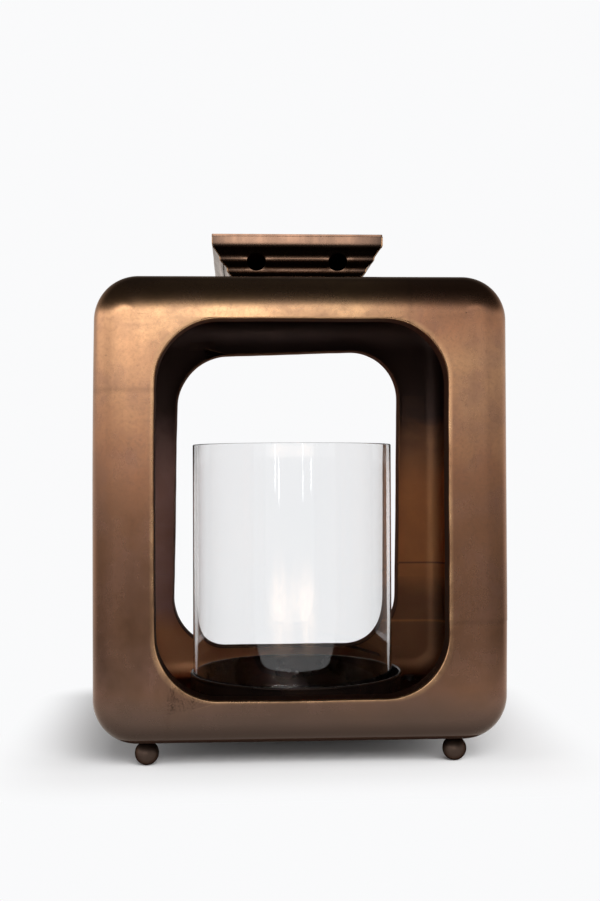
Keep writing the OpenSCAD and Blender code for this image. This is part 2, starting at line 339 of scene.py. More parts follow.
def deform(p, rear):
    """Moves a point of the body's sheet to where the hand-made sheet has it; p is in metres,
    with z counted from the middle of the body."""
    x, y, z = p
    edge = window_reach(x, z)
    at_face = HALF_D - abs(y) < FACE_DEPTH
    near = math.exp(-max(0.0, edge) / WAVE_FADE) if at_face and edge < NEAR_WINDOW else 0.0
    out = Vector((x, y, z))
    if near > 0.01:
        out += edge_wave(x, y, z) * near
    if x < 0 and z > 0:
        rise = z / HALF_H
        out.x += TOP_LEAN * rise * rise * min(1.0, -x / HALF_W)
    if rear:
        calm = math.exp(-max(0.0, edge) / RACK_FADE) if at_face else 0.0
        out.x -= REAR_INSET * calm * max(-1.0, min(1.0, x / REAR_INSET_AT))
        out.x += calm * RACK_SIDE * z
        if z > 0:
            out.z += calm * RACK_TOP * x * min(1.0, z / (HALF_H - BAR))
    return out - sag(x, y, z)


def kink(p, part):
    """The lower segments stand a little inside the upper ones at the seams of the uprights."""
    if part == "bottom" and abs(p.x) > HALF_W - KINK_ZONE:
        drop = KINK_STEP + KINK_LEAN * max(0.0, RIGHT_SEAM - p.z)
        p.x -= math.copysign(min(drop, KINK_MOST), p.x)
    return p


# What the material shows of the sheet's edges, partly as painted light and shade
WEAR_GLINT_AT = 0.5 * MM  # the bright line of wear and painted highlight lies this far outside the window's edge,
WEAR_GLINT_W = 1.1 * MM  # this wide to each side, on the sheet's outer face only
WEAR_GLINT_DEPTH = 2 * MM
SEAM_W = 1.6 * MM  # half width of a seam's dark line
TURNED_FROM = 0.5 * MM  # deeper than this the window's flange counts as inside and takes painted shade
TOP_DARK = 1.1  # painted shade: the top darkens from this many times the edge's rounding below it


def sheet_marks(point, stops, x, z, skin):
    """What the material shows at a point of the sheet, as values from 0 to 1; the flange's inside and
    the top's rounding take painted shade, and the wear line is partly a painted highlight.
    """
    a, b, d = point
    edge = window_reach(x, z)
    beside = min(abs(a - stops[0]) if b > 0 else 1, abs(b - stops[1]) if a > 0 else 1)
    turned_in = min(1.0, max(0.0, (d - TURNED_FROM) / MM)) if edge < 0.1 * MM else 0.0
    rise = (z - HALF_H + EDGE_R * TOP_DARK) / EDGE_R
    return {"wear_and_glint": math.exp(-((edge - WEAR_GLINT_AT) / WEAR_GLINT_W) ** 2) if d < WEAR_GLINT_DEPTH else 0.0,
            "seam": math.exp(-(beside / SEAM_W) ** 2),
            "inside": 0.0 if skin else turned_in,
            "inner_skin": float(skin),
            "top_edge_shade": min(1.0, max(0.0, rise)) * (1 - skin)}


def body_segment(name, part, sign_a, sign_b, stop_a, stop_b, rear, material):
    """One L-shaped segment of the sheet. sign_a and sign_b place its corner."""
    skins = [sheet_grid(t, stop_a, stop_b) for t in (0.0, SHEET)]
    turn = -1 if rear else 1
    verts, marks = [], []
    for skin, grid in enumerate(skins):
        for point in grid.reshape(-1, 3):
            a, b, d = point
            x, y, z = turn * sign_a * a, turn * (d - HALF_D), sign_b * b
            p = kink(deform((x, y, z), rear), part)
            verts.append((p.x, p.y, p.z + MID_Z))
            marks.append(sheet_marks(point, (stop_a, stop_b), x, z, skin))
    faces = shell_faces(*skins[0].shape[:2])
    if sign_a * sign_b < 0:
        faces = [f[::-1] for f in faces]
    obj = new_piece("sheet_" + name, verts, faces, "lantern_body", material,
                    replaces=[name])
    for key in marks[0]:
        point_values(obj, key, [mark[key] for mark in marks])
    bevel(obj, BODY_BEVEL)


def make_body(material):
    # Part, its corner's signs, and where it ends on its bar (a) and on its upright (b), counted
    # from the middle towards the corner
    parts = [("top", -1, 1, -TOP_SEAM, LEFT_SEAM),
             ("right", 1, 1, TOP_SEAM, RIGHT_SEAM),
             ("bottom", 1, -1, BOTTOM_SEAM, -RIGHT_SEAM),
             ("left", -1, -1, -BOTTOM_SEAM, -LEFT_SEAM)]
    for side in ("front", "rear"):
        for part, sign_a, sign_b, stop_a, stop_b in parts:
            if side == "rear" and part == "top":
                stop_b -= REAR_SEAM_DROP
            if side == "rear" and part == "left":
                stop_b += REAR_SEAM_DROP
            body_segment(f"{side}_{part}_segment", part, sign_a, sign_b, stop_a, stop_b,
                         side == "rear", material)


# ---- Materials ----

class Nodes:
    """A node tree, with short ways to add to it."""

    def __init__(self, tree):
        self.tree = tree

    def put(self, socket, value):
        """Links a socket to a value that is a socket itself, or sets it."""
        if isinstance(value, bpy.types.NodeSocket):
            self.tree.links.new(value, socket)
        else:
            socket.default_value = value

    def add(self, kind, inputs=None, **settings):
        node = self.tree.nodes.new("ShaderNode" + kind)
        for key, value in settings.items():
            setattr(node, key, value)
        for key, value in (inputs or {}).items():
            self.put(node.inputs[key], value)
        return node

    def place(self):
        return self.add("TexCoord").outputs["Object"]

    def stretched(self, scale):
        return self.add("Mapping", {"Vector": self.place(), "Scale": scale}).outputs["Vector"]

    def axes(self, vector):
        return self.add("SeparateXYZ", {"Vector": vector}).outputs

    def vectors(self, operation, a, b=(0, 0, 0)):
        return self.add("VectorMath", {0: a, 1: b}, operation=operation).outputs

    def noise(self, vector, scale, detail=4, rough=0.55, distortion=0.0):
        node = self.add("TexNoise", {"Vector": vector, "Scale": scale, "Detail": detail,
                                     "Roughness": rough, "Distortion": distortion})
        return node.outputs["Fac"]

    def ramp(self, value, stops):
        node = self.add("ValToRGB", {"Fac": value})
        elements = node.color_ramp.elements
        elements[0].position, elements[0].color = stops[0]
        elements[1].position, elements[1].color = stops[-1]
        for position, colour in stops[1:-1]:
            elements.new(position).color = colour
        return node.outputs["Color"]

    def level(self, value, low, high, to_low=0.0, to_high=1.0, kind="LINEAR"):
        node = self.add("MapRange", {"Value": value, "From Min": low, "From Max": high,
                                     "To Min": to_low, "To Max": to_high}, interpolation_type=kind)
        return node.outputs["Result"]

    def near(self, value, middle, wide, narrow, most):
        """The most where the value is within narrow of the middle, and 0 beyond wide of it."""
        away = self.math("ABSOLUTE", self.minus(value, middle))
        return self.level(away, wide, narrow, 0.0, most)

    def math(self, operation, a, b=0.0, clamp=False):
        node = self.add("Math", {0: a, 1: b}, operation=operation, use_clamp=clamp)
        return node.outputs["Value"]

    def plus(self, a, b):
        return self.math("ADD", a, b)

    def minus(self, a, b, clamp=False):
        return self.math("SUBTRACT", a, b, clamp)

    def times(self, a, b):
        return self.math("MULTIPLY", a, b)

    def larger(self, a, b):
        return self.math("MAXIMUM", a, b)

    def mix(self, factor, a, b, blend="MIX"):
        node = self.add("Mix", {"Factor": factor, "A": a, "B": b}, data_type="RGBA", blend_type=blend)
        return node.outputs["Result"]

    def shaders(self, factor, a, b):
        return self.add("MixShader", {0: factor, 1: a, 2: b}).outputs["Shader"]

    def bump(self, height, strength, distance, normal=None):
        inputs = {"Height": height, "Strength": strength, "Distance": distance}
        if normal is not None:
            inputs["Normal"] = normal
        return self.add("Bump", inputs).outputs["Normal"]

    def attribute(self, name):
        return self.add("Attribute", attribute_name=name).outputs["Fac"]


class Finish(Nodes):
    """A new material's node tree and its shader."""

    def __init__(self, name):
        self.material = bpy.data.materials.new(name)
        self.material.use_nodes = True
        super().__init__(self.material.node_tree)
        self.shader = self.tree.nodes["Principled BSDF"]

    def set(self, **inputs):
        for key, value in inputs.items():
            self.put(self.shader.inputs[key.replace("_", " ")], value)
        return self.material


def rgb(r, g, b):
    return (r, g, b, 1.0)


COPPER = rgb(0.64, 0.375, 0.195)
BROWN = rgb(0.35, 0.165, 0.09)
UMBER = rgb(0.15, 0.082, 0.052)
PLUM = rgb(0.24, 0.13, 0.098)
DUSTY = rgb(0.2, 0.145, 0.115)
DARK_PATINA_AND_SHADE = rgb(0.06, 0.04, 0.031)
WORN_AND_GLINT = rgb(0.74, 0.44, 0.23)
INNER_WARM = rgb(0.66, 0.31, 0.135)
INNER_PLUM = rgb(0.5, 0.3, 0.26)
INNER_DARK = rgb(0.06, 0.036, 0.027)
INNER_DARK_BROWN = rgb(0.12, 0.078, 0.066)
# Tints of the metal's edge reflection
BRIGHT_TINT = rgb(1.0, 0.92, 0.85)
STRAP_TINT = rgb(0.3, 0.2, 0.15)
DARK_TINT = rgb(0.22, 0.14, 0.1)

# Where the finish changes, in metres: where each change starts and where it is complete
COPPER_RISE = (0.02, 0.36)  # painted light: more copper the higher up, so the upper part shows lighter
TOP_BAR = (0.29, 0.322)  # painted highlight along the top bar, strong on the left and turning to painted shade on the right
TOP_LEFT = (-0.15, -0.07)
TOP_RIGHT = (0.04, 0.1)
RIGHT_SIDE = (0.08, 0.12)  # a little more copper on the right side
LOWER_BAR_END = (0.062, 0.05)  # the brush turns from the uprights to the bars
UPPER_BAR_END = (0.312, 0.32)
GREY_LINE = (0.055, 0.028)  # greyer towards the bottom, and by dull all over
# painted shade: near black round the bottom
BOTTOM_SHADE_LINE = (0.055, 0.026)
BELLY_LINE = (0.0215, 0.019)  # painted shade on the body's underside
CAP_PLATE = (0.36, 0.365)  # the cap's top plate, with painted shade below it
FACING_DOWN = (-0.75, -0.95)  # Z of its normal there
LOW_RING = 0.068  # middle of a duller ring above the bottom bar
INNER_SIDES = (-0.04, 0.06)  # from the left side of the inside to the right
INNER_TOP_SHADE = (0.205, 0.268)  # painted shade on the inside's upper part
INNER_GLOW_BAND = (0.085, 0.062)  # painted highlight: warmer along the bottom of the left side
INNER_LOW = (0.118, 0.098)  # darker along the bottom of the right side,
INNER_LINES = (0.113, 0.07)  # with two pale lines
INNER_JOINT = 0.1245  # and a dark one above


def brushing(n, height, brush):
    """Brush marks, which run up and down the uprights and along the bars."""
    upright = n.noise(n.stretched(brush), 1.0, 3, 0.5)
    along = n.noise(n.stretched(brush[::-1]), 1.0, 3, 0.5)
    bar = n.larger(n.level(height, *LOWER_BAR_END), n.level(height, *UPPER_BAR_END))
    return n.add("Mix", {"Factor": bar, "A": upright, "B": along}).outputs["Result"]


def copper_share(n, place, height):
    """How much copper shows: more above, which is painted light, more in clouds, and along the top bar
    a painted highlight that turns to painted shade on its right.
    """
    across = n.axes(place)["X"]
    cloud = n.noise(place, 7.0, 5, 0.6, 0.4)
    copper = n.plus(n.times(n.level(height, *COPPER_RISE), 0.58), n.times(cloud, 0.55))
    top_bar_highlight = n.minus(n.level(across, *TOP_LEFT, -0.02, 0.28), n.level(across, *TOP_RIGHT, 0.0, 0.62))
    copper = n.plus(copper, n.times(n.level(height, *TOP_BAR), top_bar_highlight))
    copper = n.plus(copper, n.level(across, *RIGHT_SIDE, 0.0, 0.1))
    return n.minus(copper, n.near(height, LOW_RING, 0.032, 0.006, 0.07))


def pits(n, place):
    """Small dark pits, in about one cell in forty."""
    cells = n.add("TexVoronoi", {"Vector": place, "Scale": 130.0, "Randomness": 1.0})
    chance = n.add("SeparateColor", {"Color": cells.outputs["Color"]}).outputs["Red"]
    pit = n.times(n.level(cells.outputs["Distance"], 0.12, 0.05), n.math("GREATER_THAN", chance, 0.975))
    return n.times(pit, 0.6)


def patina(n, place, height, dark, dull, brush):
    """Colour of the outside: copper above, brown and umber below, with plum clouds. Painted light
    and shade lie on it too: more copper higher up, a highlight on the top bar, shade round the
    bottom, on the top's rounding and in the cap's walls beside their patina, and a wear line
    that is partly a highlight. Also gives the mottling and the brush marks, which the rest of
    the finish follows."""
    mottle = n.noise(place, 34.0, 6, 0.65, 0.3)
    speck = n.noise(place, 420.0, 3, 0.7)
    streak = brushing(n, height, brush)
    copper = n.minus(copper_share(n, place, height), 0.105 + dark)
    base = n.ramp(copper, [(0.18, UMBER), (0.52, BROWN), (0.95, COPPER)])
    for share, colour in (
            (n.level(mottle, 0.42, 0.7, 0.0, 0.5), PLUM),
            (n.level(speck, 0.48, 0.72, 0.0, 0.26), UMBER),
            (n.level(streak, 0.35, 0.75, 0.0, 0.24), UMBER),
            (n.level(height, *GREY_LINE, dull, 0.55 + 0.3 * dull), DUSTY),
            (pits(n, place), INNER_DARK),
            # partly wear, partly a painted highlight along the windows' edges
            (n.times(n.attribute("wear_and_glint"), n.level(mottle, 0.35, 0.65, 0.15, 0.9)), WORN_AND_GLINT),
            (n.times(n.attribute("seam"), 0.3), UMBER),
            # painted shade round the bottom
            (n.level(height, *BOTTOM_SHADE_LINE, 0.0, 0.92), DARK_PATINA_AND_SHADE),
            # dark patina in the cap's hollows, with painted shade under its lip and at its ends
            (n.times(n.attribute("hollows_and_shade"), 0.9), DARK_PATINA_AND_SHADE),
            # painted shade on the top's rounding
            (n.times(n.attribute("top_edge_shade"), 0.75), DARK_PATINA_AND_SHADE)):
        base = n.mix(share, base, colour)
    return base, mottle, streak


def inner_patina(n, place, height):
    """Colour of the inside: golden brown on the right, plum brown on the left, with painted shade above
    and a painted warm highlight along the bottom of the left side.
    """
    right = n.level(n.axes(place)["X"], *INNER_SIDES)
    cloud = n.noise(place, 16.0, 4, 0.6, 0.5)
    base = n.mix(right, INNER_PLUM, INNER_WARM)
    base = n.mix(n.level(cloud, 0.4, 0.75, 0.0, 0.5), base, BROWN)
    # painted highlight: a warm glow along the bottom of the left side
    base = n.mix(n.minus(n.level(height, *INNER_GLOW_BAND, 0.0, 0.8), right, clamp=True), base, INNER_WARM)
    bent = n.plus(height, n.level(cloud, 0.3, 0.7, -0.012, 0.012))
    below = n.times(n.level(bent, *INNER_LOW, 0.0, 0.55), right)
    for at in INNER_LINES:
        line = n.times(n.near(height, at, 0.0016, 0.0002, 0.5), right)
        below = n.minus(below, line, clamp=True)
    joint = n.times(n.near(height, INNER_JOINT, 0.0012, 0.0003, 0.7), right)
    # painted shade above, with the darker band and the dark joint line below
    darkened = n.larger(n.level(bent, *INNER_TOP_SHADE), n.larger(below, joint))
    return n.mix(darkened, base, INNER_DARK_BROWN)


def painted_shade_mask(n, height, belly, under):
    """Painted shade on the outside, where shade falls: the flanges, the cap walls' inner skin, the
    underside and below the cap's plate.
    """
    shaded = n.attribute("inside")
    if belly:
        shaded = n.larger(shaded, n.level(height, *BELLY_LINE))
    if under:
        down = n.axes(n.add("NewGeometry").outputs["Normal"])["Z"]
        down = n.times(n.level(down, *FACING_DOWN), n.level(height, *CAP_PLATE))
        shaded = n.larger(shaded, down)
    return shaded


def hand_worked(n, place, streak):
    """Normal of the surface: shallow dents, brush marks and a fine grain."""
    dents = n.bump(n.noise(place, 22.0, 1, 0.4), 0.14, 0.0008)
    brushed = n.bump(streak, 0.08, 0.0003, dents)
    return n.bump(n.noise(place, 900.0, 2, 0.6), 0.05, 0.0002, brushed)


def bronze(name, dark=0.0, brush=(1, 1, 1), rough=0.25, dull=0.0, inner=False, belly=False, rim=0.0,
           under=False):
    """Satin antique bronze: copper that shows through brown and plum patina."""
    n = Finish(name)
    place = n.place()
    height = n.axes(place)["Z"]
    base, mottle, streak = patina(n, place, height, dark, dull, brush)
    roughness = n.plus(n.level(mottle, 0.3, 0.7, rough - 0.03, rough + 0.04),
                       n.level(streak, 0.3, 0.7, -0.02, 0.03))
    inside = inner_patina(n, place, height)
    if inner:
        base = n.mix(n.level(mottle, 0.3, 0.7, 0.9, 1.0), base, inside)
        tint = STRAP_TINT
    else:
        skin = n.attribute("inner_skin")
        shaded = painted_shade_mask(n, height, belly, under)
        base = n.mix(skin, base, inside)
        # painted shade: the flanges, the underside and below the cap's plate go near black
        base = n.mix(n.times(shaded, 0.85), base, INNER_DARK)
        within = n.math("GREATER_THAN", n.larger(skin, shaded), 0.05)
        roughness = n.plus(roughness, n.times(within, 0.28))
        tint = DARK_TINT if rim else n.mix(within, BRIGHT_TINT, DARK_TINT)
    if rim:
        # painted shade: the rim darkens where the surface turns away from view
        turning = n.add("LayerWeight", {"Blend": 0.5}).outputs["Facing"]
        base = n.mix(n.level(turning, 0.2, 0.6, 0.0, rim), base, DARK_PATINA_AND_SHADE)
    return n.set(Base_Color=base, Metallic=1.0, Roughness=roughness, Specular_Tint=tint,
                 Normal=hand_worked(n, place, streak))


def steel(name):
    n = Finish(name)
    spots = n.noise(n.place(), 260.0, 4, 0.6)
    colour = n.ramp(spots, [(0.3, rgb(0.09, 0.085, 0.08)), (0.7, rgb(0.2, 0.19, 0.18))])
    return n.set(Base_Color=colour, Metallic=1.0, Roughness=n.level(spots, 0.3, 0.7, 0.35, 0.5))


def pan_finish(name):
    """Blackened bronze, glossy, with fine turning marks and a few specks."""
    n = Finish(name)
    place = n.place()
    cloud = n.noise(place, 26.0, 5, 0.6)
    specks = n.noise(place, 260.0, 3, 0.6)
    base = n.ramp(cloud, [(0.3, rgb(0.016, 0.011, 0.01)), (0.7, rgb(0.045, 0.027, 0.02))])
    base = n.mix(n.level(specks, 0.72, 0.78, 0.0, 0.7), base, rgb(0.32, 0.24, 0.18))
    return n.set(Base_Color=base, Metallic=0.85, Roughness=n.level(cloud, 0.3, 0.7, 0.22, 0.34),
                 Normal=n.bump(n.noise(place, 60.0, 3, 0.5), 0.15, 0.0005))


def glass_finish(name):
    n = Finish(name)
    film = n.noise(n.place(), 14.0, 3, 0.5)
    colour = n.ramp(film, [(0.3, rgb(0.985, 0.99, 0.995)), (0.7, rgb(0.995, 0.997, 1.0))])
    return n.set(Base_Color=colour, Roughness=0.0, IOR=1.45, Transmission_Weight=1.0,
                 Normal=n.bump(n.noise(n.stretched((40, 40, 3)), 1.0, 1, 0.4), 0.02, 0.0002))


# ---- The cap ----
CAP_FOOT = Vector((44, 71, 0)) * MM
CAP_SLOPE = (math.tan(math.radians(35)), math.tan(math.radians(30)))
LIP_H = 9.6 * MM
LIP_LEAN = 2 * MM
LIP_ROLL = 7  # the higher, the tighter the lip's lower edge is rolled
CAP_T = 1.2 * MM
VENT_R = 7.2 * MM
VENT_PITCH = 62 * MM
VENT_Z = 18 * MM
BEADS = (18.2 * MM, 10.1 * MM)  # heights of the two beads pressed round the walls
BEAD_H = 1.5 * MM
BEAD_W = 4.1 * MM  # half width
CAP_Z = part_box("cap_front_wall")[0].z
CAP_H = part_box("cap_front_wall")[1].z - CAP_Z
CAP_ROWS, CAP_COLS = 36, 84
VENT_CELLS = 10  # half the side of the block that gives way to a vent
VENT_RINGS = 5
MITRE_GAP = 0.12 * MM  # the walls' ends stop short of the corner, for the braze,
MITRE = 0.9  # and the inner skin's by this share of its inset as well
CAP_SAG = 0.25 * MM  # hollows in the walls
CAP_HOLLOWS = (30, 2.2)
CAP_BEVEL = 0.3 * MM
LIP_CLEAR_SHARE = 0.72  # share of the lip kept clear of the dark patina and painted shade
GROOVE_RISE = 1.9 * MM  # the band on a bead kept clear of the dark, where it catches the light, lies this much above its middle,
GROOVE_W = 2.1 * MM  # with this half width
END_DARK = 0.9  # painted shade: the ends of the walls are darker, from this far in
END_REACH = 18 * MM
BRAZE_R, BRAZE_UNEVEN = 0.42 * MM, 0.55
BRAZE_NOISE = (260, 4.4)
BRAZE_DEPTH = 0.32 * MM  # of its middle, in from the corner
BRAZE_END = 0.2 * MM  # from the foot and the top
BRAZE_STEPS, BRAZE_SIDES = 60, 8


def cap_out(axis, z):
    """Half size of the cap's outer skin at height z above its foot, along x (0) or y (1)."""
    slope_h = CAP_H - LIP_H
    out = CAP_FOOT[axis] + min(z, slope_h) * CAP_SLOPE[axis]
    if z > slope_h:
        out += LIP_LEAN * (1 - (1 - (z - slope_h) / LIP_H) ** LIP_ROLL)
    for at in BEADS:
        k = abs(z - at) / BEAD_W
        if k < 1:
            out += BEAD_H * (0.5 + 0.5 * math.cos(math.pi * k))
    return out


def cap_hollows_and_shade(z):
    """1 where the cap's walls are dark: dark patina in the hollows between the beads, and painted shade
    under the lip and round the bands where the beads catch the light.
    """
    if z > CAP_H - LIP_H * LIP_CLEAR_SHARE:
        return 0.0
    return 1.0 - max(math.exp(-((z - at - GROOVE_RISE) / GROOVE_W) ** 4) for at in BEADS)


def cap_end_shade(axis, along, z):
    """How much painted shade darkens a wall of the cap towards its ends."""
    return END_DARK * max(0.0, 1 - (cap_out(axis, z) - abs(along)) / END_REACH)


def vented_grid(cols, rows, holes, size):
    """Points and faces of a cols x rows grid over -1..1 by 0..1 without a block of 2 * size cells
    a side round each hole's middle cell, and the loop of points round each block."""
    points, faces, index = [], [], {}

    def grid_point(c, r):
        if (c, r) not in index:
            index[c, r] = len(points)
            points.append((c / cols * 2 - 1, r / rows))
        return index[c, r]

    def in_hole(c, r):
        return any(abs(c + 0.5 - hc) < size and abs(r + 0.5 - hr) < size for hc, hr in holes)

    for c in range(cols):
        for r in range(rows):
            if not in_hole(c, r):
                faces.append((grid_point(c, r), grid_point(c + 1, r),
                              grid_point(c + 1, r + 1), grid_point(c, r + 1)))
    sides = ((-1, -1, 1, 0), (1, -1, 0, 1), (1, 1, -1, 0), (-1, 1, 0, -1))
    loops = [[grid_point(hc + a * size + da * k, hr + b * size + db * k)
              for a, b, da, db in sides for k in range(2 * size)] for hc, hr in holes]
    return points, faces, loops


def ring_faces(first, second):
    """Faces between two loops of as many points."""
    count = len(first)
    return [(first[i], first[(i + 1) % count], second[(i + 1) % count], second[i])
            for i in range(count)]


def wall_point(axis, sign, u, z, inset, steep):
    """Point of a wall's skin as (along, out, z), u running from -1 to 1 along the wall."""
    along = u * (cap_out(axis, z) - inset / steep * MITRE - MITRE_GAP)
    out = cap_out(1 - axis, z) - inset
    scale, seed = CAP_HOLLOWS
    out -= CAP_SAG * (0.5 + 0.5 * uneven((along, out * sign, z), scale, seed + axis))
    return along, out, z


def add_vent(spots, faces, outer, middle, axis, inset, steep):
    """Fills the gap from a block's outline to the circle of its vent, and returns the circle."""
    loop = outer
    for k in range(1, VENT_RINGS + 1):
        t = k / VENT_RINGS
        ring = []
        for i in outer:
            x0, z0 = spots[i][0], spots[i][2]
            # The circle lies in the wall's slope, so its height is less than its width
            turn = math.atan2((z0 - VENT_Z) / steep, x0 - middle)
            x1 = middle + VENT_R * math.cos(turn)
            z1 = VENT_Z + VENT_R * math.sin(turn) * steep
            z = z0 + (z1 - z0) * t
            ring.append(len(spots))
            spots.append((x0 + (x1 - x0) * t, cap_out(1 - axis, z) - inset, z))
        faces += ring_faces(loop, ring)
        loop = ring
    return loop


def face_outwards(mesh):
    """Turns the mesh's faces so that they all face out."""
    edit = bmesh.new()
    edit.from_mesh(mesh)
    bmesh.ops.recalc_face_normals(edit, faces=edit.faces)
    edit.to_mesh(mesh)
    edit.free()


def cap_wall(name, axis, sign, vents, material):
    """One wall of the cap: its length lies along the axis, it faces across it."""
    steep = math.cos(math.atan(CAP_SLOPE[1 - axis]))
    cells = [(round((at / (2 * cap_out(axis, VENT_Z)) + 0.5) * CAP_COLS),
              round(VENT_Z / CAP_H * CAP_ROWS)) for at in vents]
    points, grid_faces, loops = vented_grid(CAP_COLS, CAP_ROWS, cells, VENT_CELLS)
    verts, faces, rims = [], [], []
    for inset in (0.0, CAP_T / steep):
        half = len(verts)
        spots = [wall_point(axis, sign, u, v * CAP_H, inset, steep) for u, v in points]
        skin = list(grid_faces)
        for loop, at in zip(loops, vents):
            rims.append([half + i for i in add_vent(spots, skin, loop, at, axis, inset, steep)])
        for along, out, z in spots:
            x, y = (along, sign * out) if axis == 0 else (sign * out, along)
            verts.append((x, y, CAP_Z + z))
        order = -1 if ((sign > 0) == (axis == 0)) != bool(inset) else 1
        faces += [tuple(half + i for i in face)[::order] for face in skin]
    # The walls between the two skins, round the outline and round the vents
    sides = dict.fromkeys(side for face in grid_faces for side in zip(face, face[1:] + face[:1]))
    for i, j in sides:
        if (j, i) not in sides and not any(i in loop and j in loop for loop in loops):
            faces.append((j, i, i + half, j + half))
    for first, second in zip(rims[:len(vents)], rims[len(vents):]):
        faces += ring_faces(first, second)
    obj = new_piece("sheet_" + name, verts, faces, "lantern_body", material,
                    replaces=[name])
    point_values(obj, "hollows_and_shade", [max(cap_hollows_and_shade(v[2] - CAP_Z), cap_end_shade(axis, v[axis], v[2] - CAP_Z))
                                 for v in verts])
    point_values(obj, "inside", [float(i >= half) for i in range(len(verts))])
    face_outwards(obj.data)
    bevel(obj, CAP_BEVEL, angle=50)


def braze_line(name, sx, sy, material):
    """The thin uneven line of braze down a corner of the cap."""
    verts, faces = [], []
    for z in np.linspace(BRAZE_END, CAP_H - BRAZE_END, BRAZE_STEPS):
        r = BRAZE_R * (1 + BRAZE_UNEVEN * uneven((sx, sy, z), *BRAZE_NOISE))
        cx, cy = cap_out(0, z) - BRAZE_DEPTH, cap_out(1, z) - BRAZE_DEPTH
        for k in range(BRAZE_SIDES):
            t = 2 * math.pi * k / BRAZE_SIDES
            verts.append((sx * cx + r * math.cos(t), sy * cy + r * math.sin(t), CAP_Z + z))
    rings = [range(i, i + BRAZE_SIDES) for i in range(0, len(verts), BRAZE_SIDES)]
    for lower, upper in zip(rings, rings[1:]):
        faces += ring_faces(lower, upper)
    faces += [tuple(rings[0])[::-1], tuple(rings[-1])]
    new_piece(name, verts, faces, "lantern_body", material)


def make_cap(wall, braze):
    vents = (-VENT_PITCH / 2, VENT_PITCH / 2)
    cap_wall("cap_front_wall", 0, -1, vents, wall)
    cap_wall("cap_rear_wall", 0, 1, vents, wall)
    cap_wall("cap_left_wall", 1, -1, (), wall)
    cap_wall("cap_right_wall", 1, 1, (), wall)
    for side, sx in (("left", -1), ("right", 1)):
        for face, sy in (("front", -1), ("rear", 1)):
            braze_line(f"cap_braze_{face}_{side}", sx, sy, braze)


# ---- Pan and glass ----
PAN_T = 1.6 * MM  # of the pan's wall and floor
PAN_SLACK = 0.05 * MM  # the pan is this much smaller than its solid
PAN_CORNER = 2.2 * MM
PAN_BEAD = 0.72 * PAN_T  # radius of the bead round its rim,
BEAD_OUT = 0.4 * MM  # which stands out from the wall by this
BEAD_BELOW = 3.2 * MM  # and goes over into it this far below the rim
BEAD_ARC = (-40, 200)
CORNER_STEPS, BEAD_STEPS = 7, 15
SEAT_R = 72 * MM  # the raised seat of the glass
SEAT_H = 1.5 * MM
SEAT_STEP = ((2.0 * MM, 0.0), (0.9 * MM, 0.2 * MM), (-0.2 * MM, SEAT_H - 0.25 * MM))
TURNED_RINGS = (60 * MM, 45 * MM, 30 * MM, 15 * MM)
RING_W = 1.2 * MM  # half width of a turned ring
RING_DEPTH = 0.12 * MM
AXIS_R = 0.5 * MM  # the pan's mesh starts this far from its axis
GLASS_T = 1.9 * MM  # thinner than the solid, as the rim looks
GLASS_ROUND = 0.999  # share of half the thickness that the rims are rounded with
GLASS_ARC, GLASS_STEPS = 13, 9


def round_solid(name):
    """Outer radius, height and foot of one of the round solids."""
    lo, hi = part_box(name)
    return (hi.x - lo.x) / 2, hi.z - lo.z, Vector(((lo.x + hi.x) / 2, 0, lo.z))


def make_pan(material):
    out_r, height, foot = round_solid("candle_pan")
    wall_r = out_r - PAN_SLACK - BEAD_OUT
    bead_r = out_r - PAN_SLACK - PAN_BEAD
    seat_z = PAN_T + SEAT_H
    profile = [(AXIS_R, 0.0)]
    profile += arc(wall_r - PAN_CORNER, PAN_CORNER, PAN_CORNER, -90, 0, CORNER_STEPS)
    profile += [(wall_r, height - BEAD_BELOW)]
    profile += arc(bead_r, height - PAN_BEAD, PAN_BEAD, *BEAD_ARC, BEAD_STEPS)
    profile += [(wall_r - PAN_T, height - BEAD_BELOW - 0.2 * MM)]
    profile += arc(wall_r - PAN_T - PAN_CORNER, PAN_T + PAN_CORNER, PAN_CORNER, 0, -90, CORNER_STEPS)
    profile += [(SEAT_R + out, PAN_T + up) for out, up in SEAT_STEP]
    profile += [(SEAT_R - RING_W, seat_z)]
    for r in TURNED_RINGS:
        profile += [(r + RING_W, seat_z), (r, seat_z - RING_DEPTH), (r - RING_W, seat_z)]
    profile += [(AXIS_R, seat_z)]
    verts, faces = revolve(profile, foot)
    new_piece("spun_pan", verts, faces, "pan", material, replaces=["candle_pan"])


def make_glass(material):
    out_r, height, foot = round_solid("hurricane_glass")
    r = GLASS_T / 2
    in_r = out_r - GLASS_T
    profile = arc(in_r + r, height - r, r * GLASS_ROUND, 180, 0, GLASS_ARC)
    profile += [(out_r, z) for z in np.linspace(height - r, r, GLASS_STEPS)[1:-1]]
    profile += arc(in_r + r, r, r * GLASS_ROUND, 0, -180, GLASS_ARC)
    profile += [(in_r, z) for z in np.linspace(r, height - r, GLASS_STEPS)[1:-1]]
    verts, faces = revolve(profile, foot)
    return new_piece("clear_cylinder", verts, [f[::-1] for f in faces], "glass",
                     material, replaces=["hurricane_glass"])


# ---- Stage ----
SHADOW_REACH = 0.085  # the floor keeps its shadow this far from the body
FLOOR_R = 0.54  # the pale floor is a disc; beyond it the room is dark to the metal
FLOOR_SIDES = 96
WHITE = rgb(0.955, 0.957, 0.965)


